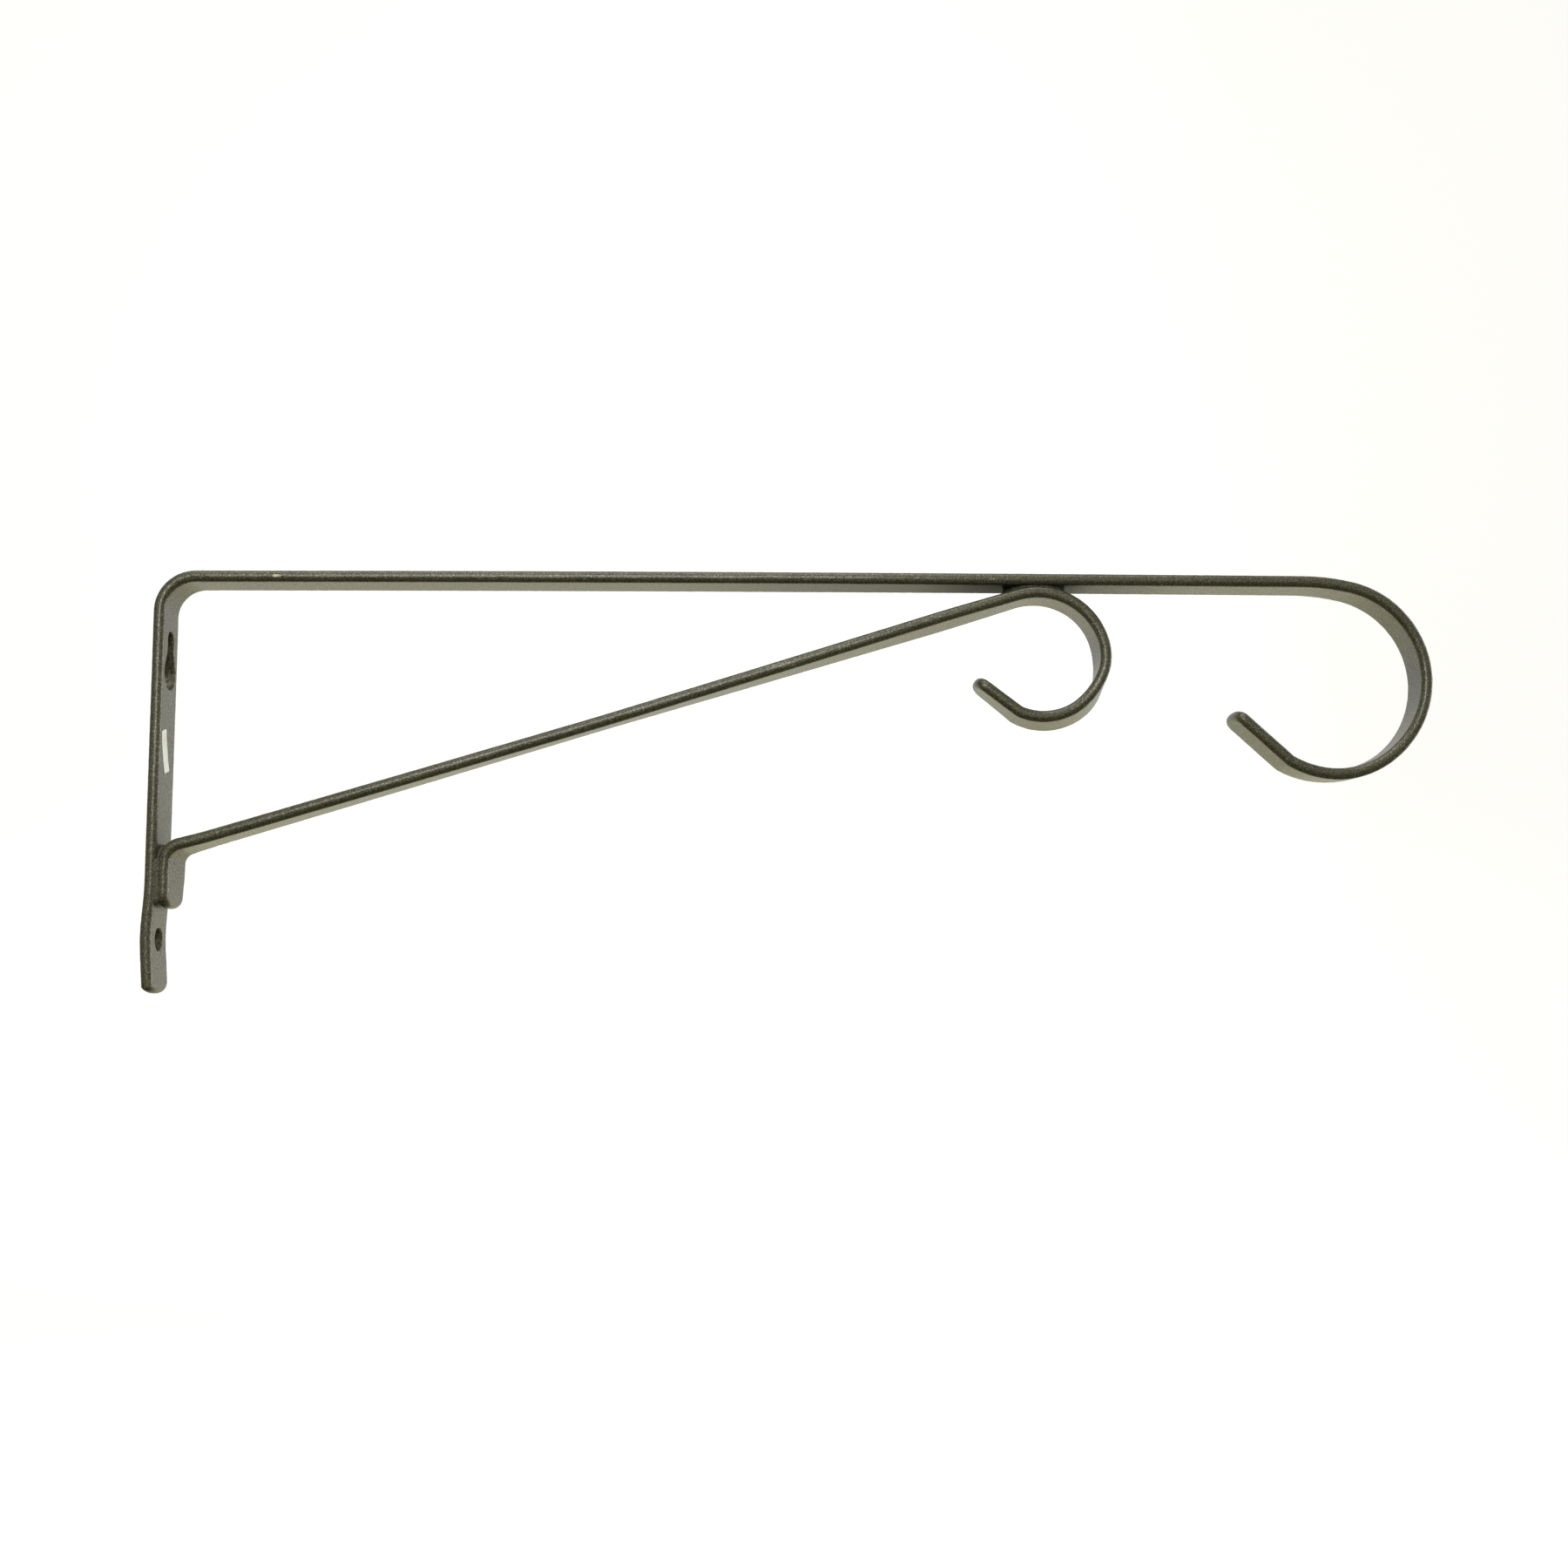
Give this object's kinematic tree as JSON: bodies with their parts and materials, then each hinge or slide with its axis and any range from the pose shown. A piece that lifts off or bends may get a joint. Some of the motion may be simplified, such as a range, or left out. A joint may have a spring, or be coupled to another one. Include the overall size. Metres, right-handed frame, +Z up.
{
  "type": "hanging plant bracket",
  "caption": "Wall bracket bent from flat steel strip: a leg with screw holes, an arm ending in a large hook, and a sloping brace ending in a smaller hook.",
  "frame": {"origin": "middle of the leg's flat back face, which lies against the wall", "axes": "+X straight out from the wall along the arm, +Z up, +Y across the strips"},
  "size_m": [0.3806, 0.0152, 0.1248],
  "materials": {
    "strip_enamel": "fine hammered grey-green enamel, satin",
    "weld_enamel": "the same enamel over weld beads"
  },
  "bodies": {
    "root": {"arm_bar": "strip_enamel", "brace_bar": "strip_enamel", "crown_weld_wall_side": "weld_enamel", "crown_weld_hook_side": "weld_enamel", "foot_weld": "weld_enamel", "foot_seam_weld": "weld_enamel"}
  },
  "joints": []
}
